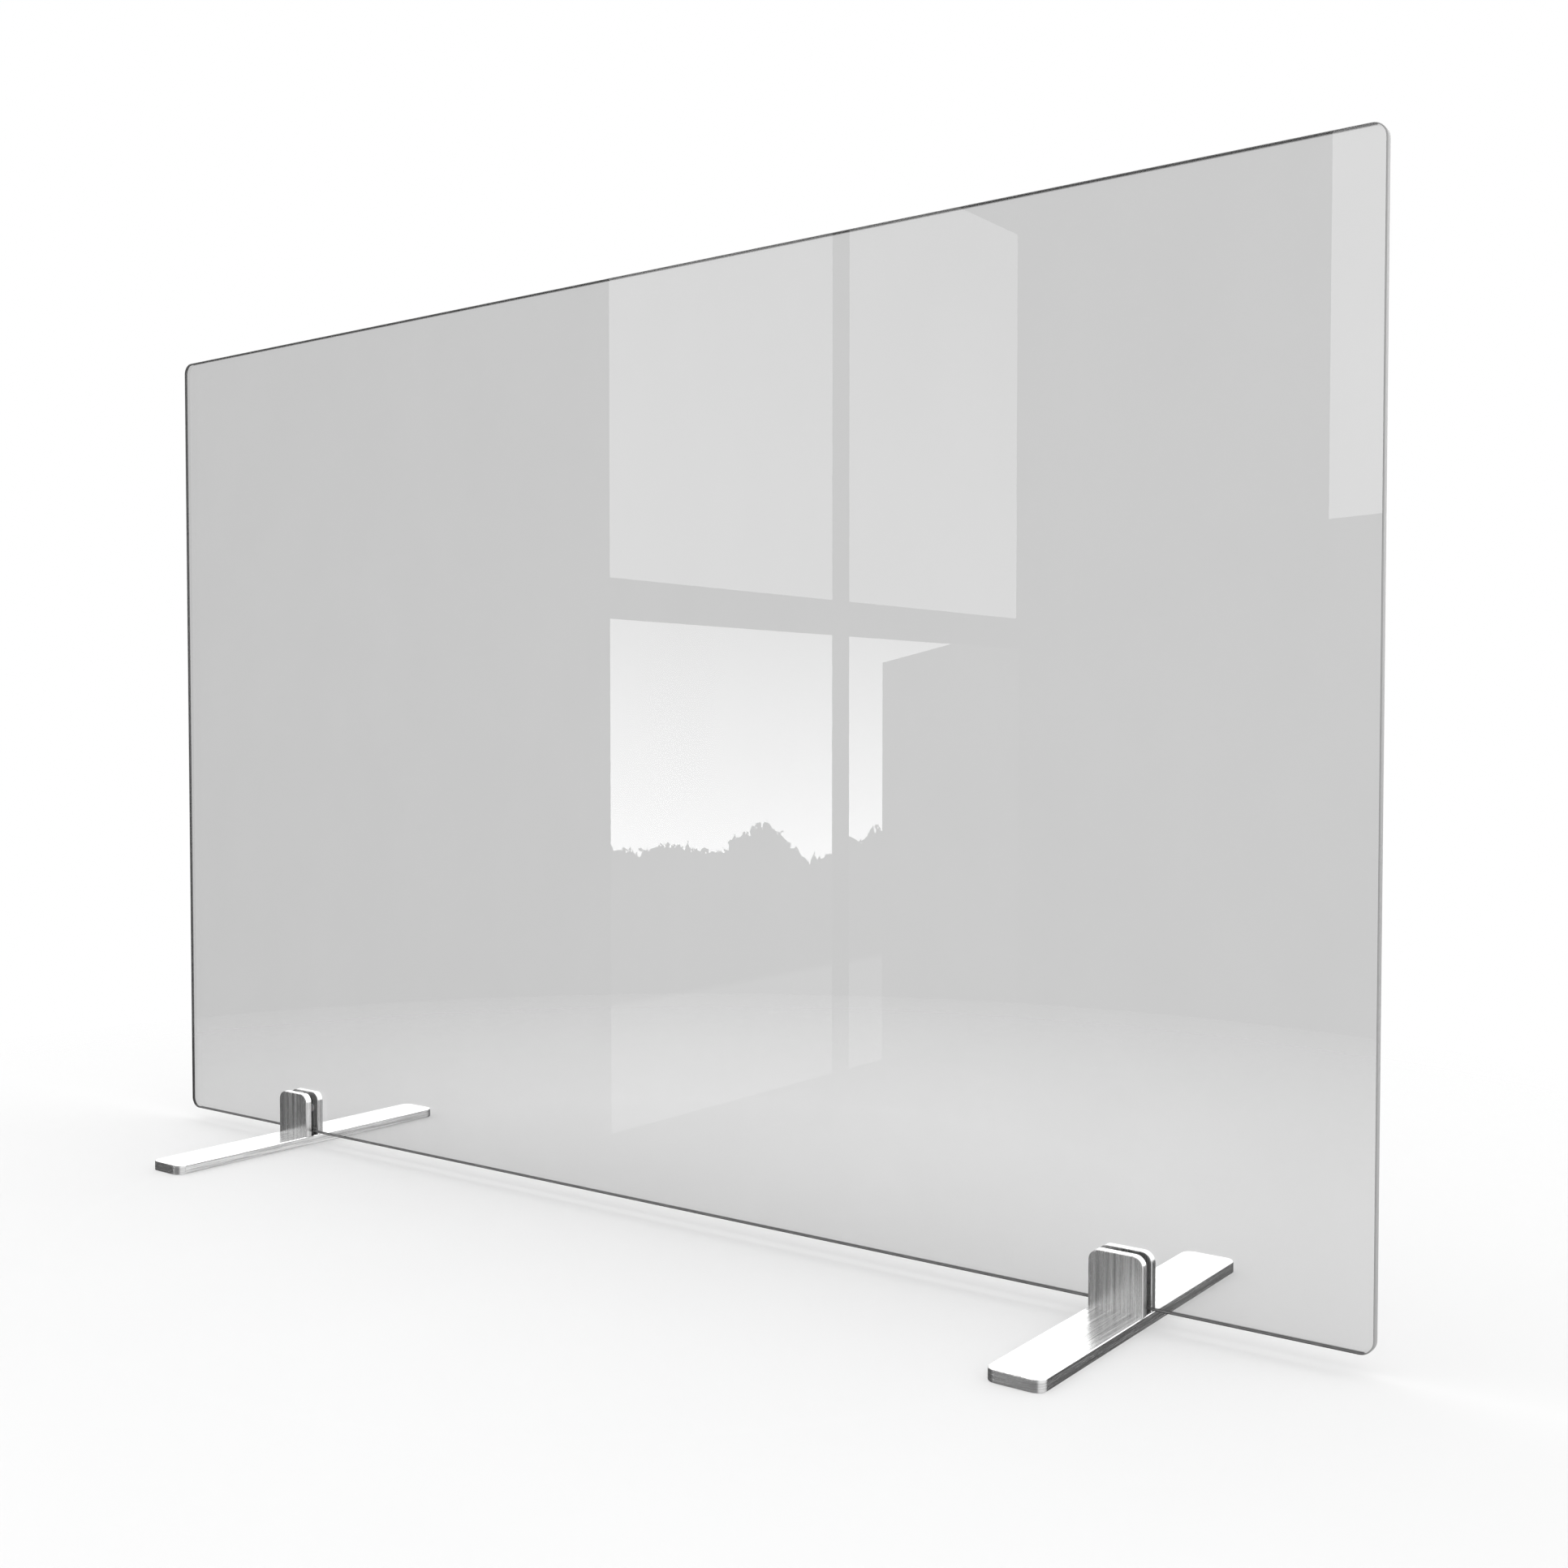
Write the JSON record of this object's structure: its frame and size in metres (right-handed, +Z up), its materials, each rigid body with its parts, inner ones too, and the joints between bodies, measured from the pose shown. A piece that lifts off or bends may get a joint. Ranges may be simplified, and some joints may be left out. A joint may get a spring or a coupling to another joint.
{
  "type": "desk privacy panel",
  "caption": "Free-standing glass desk screen with rounded corners, held upright by clamping feet with brushed steel bars and plates.",
  "frame": {"origin": "on the desk surface, under the middle of the glass sheet", "axes": "+X along the glass sheet, +Y to the rear where the clamp screws are worked, +Z up"},
  "size_m": [1.2, 0.3, 0.762],
  "materials": {
    "tinted_glass": "clear grey tint, polished faces, ground edge",
    "bar_steel": "brushed along the bar",
    "plate_steel": "brushed upright",
    "screw_steel": "turned stainless steel",
    "clear_liner": "clear film",
    "setting_rubber": "matte grey",
    "pad_rubber": "matte black",
    "pressure_nylon": "natural nylon"
  },
  "bodies": {
    "panel": {"glass_panel": "tinted_glass"},
    "left_foot": {"left_base_bar": "bar_steel", "left_front_plate": "plate_steel", "left_rear_plate": "plate_steel", "left_plate_screws": "screw_steel", "left_slot_liner": "clear_liner", "left_setting_block": "setting_rubber", "left_nonslip_pads": "pad_rubber"},
    "left_outer_pad": {"left_outer_pressure_pad": "pressure_nylon"},
    "left_inner_pad": {"left_inner_pressure_pad": "pressure_nylon"},
    "left_outer_screw": {"left_outer_clamp_screw": "screw_steel"},
    "left_inner_screw": {"left_inner_clamp_screw": "screw_steel"},
    "right_foot": {"right_base_bar": "bar_steel", "right_front_plate": "plate_steel", "right_rear_plate": "plate_steel", "right_plate_screws": "screw_steel", "right_slot_liner": "clear_liner", "right_setting_block": "setting_rubber", "right_nonslip_pads": "pad_rubber"},
    "right_outer_pad": {"right_outer_pressure_pad": "pressure_nylon"},
    "right_inner_pad": {"right_inner_pressure_pad": "pressure_nylon"},
    "right_outer_screw": {"right_outer_clamp_screw": "screw_steel"},
    "right_inner_screw": {"right_inner_clamp_screw": "screw_steel"}
  },
  "joints": [
    {"name": "left_foot_slide", "type": "slide", "parent": "panel", "child": "left_foot", "axis": [1, 0, 0], "range_m": [-0.14, 0.35]},
    {"name": "right_foot_slide", "type": "slide", "parent": "panel", "child": "right_foot", "axis": [-1, 0, 0], "range_m": [-0.14, 0.35]},
    {"name": "left_outer_pad_travel", "type": "slide", "parent": "left_foot", "child": "left_outer_pad", "axis": [0, 1, 0], "range_m": [0, 0.001]},
    {"name": "left_outer_screw_turn", "type": "hinge", "parent": "left_outer_pad", "child": "left_outer_screw", "pos_m": [-0.441, 0.00675, 0.0333], "axis": [0, 1, 0], "range_deg": [0, 360]},
    {"name": "left_inner_pad_travel", "type": "slide", "parent": "left_foot", "child": "left_inner_pad", "axis": [0, 1, 0], "range_m": [0, 0.001]},
    {"name": "left_inner_screw_turn", "type": "hinge", "parent": "left_inner_pad", "child": "left_inner_screw", "pos_m": [-0.419, 0.00675, 0.0333], "axis": [0, 1, 0], "range_deg": [0, 360]},
    {"name": "right_outer_pad_travel", "type": "slide", "parent": "right_foot", "child": "right_outer_pad", "axis": [0, 1, 0], "range_m": [0, 0.001]},
    {"name": "right_outer_screw_turn", "type": "hinge", "parent": "right_outer_pad", "child": "right_outer_screw", "pos_m": [0.441, 0.00675, 0.0333], "axis": [0, 1, 0], "range_deg": [0, 360]},
    {"name": "right_inner_pad_travel", "type": "slide", "parent": "right_foot", "child": "right_inner_pad", "axis": [0, 1, 0], "range_m": [0, 0.001]},
    {"name": "right_inner_screw_turn", "type": "hinge", "parent": "right_inner_pad", "child": "right_inner_screw", "pos_m": [0.419, 0.00675, 0.0333], "axis": [0, 1, 0], "range_deg": [0, 360]}
  ],
  "couplings": [
    {"joint": "left_outer_screw_turn", "follows": "left_outer_pad_travel", "rad_per_m": 6283.2},
    {"joint": "left_inner_screw_turn", "follows": "left_inner_pad_travel", "rad_per_m": 6283.2},
    {"joint": "right_outer_screw_turn", "follows": "right_outer_pad_travel", "rad_per_m": 6283.2},
    {"joint": "right_inner_screw_turn", "follows": "right_inner_pad_travel", "rad_per_m": 6283.2}
  ]
}
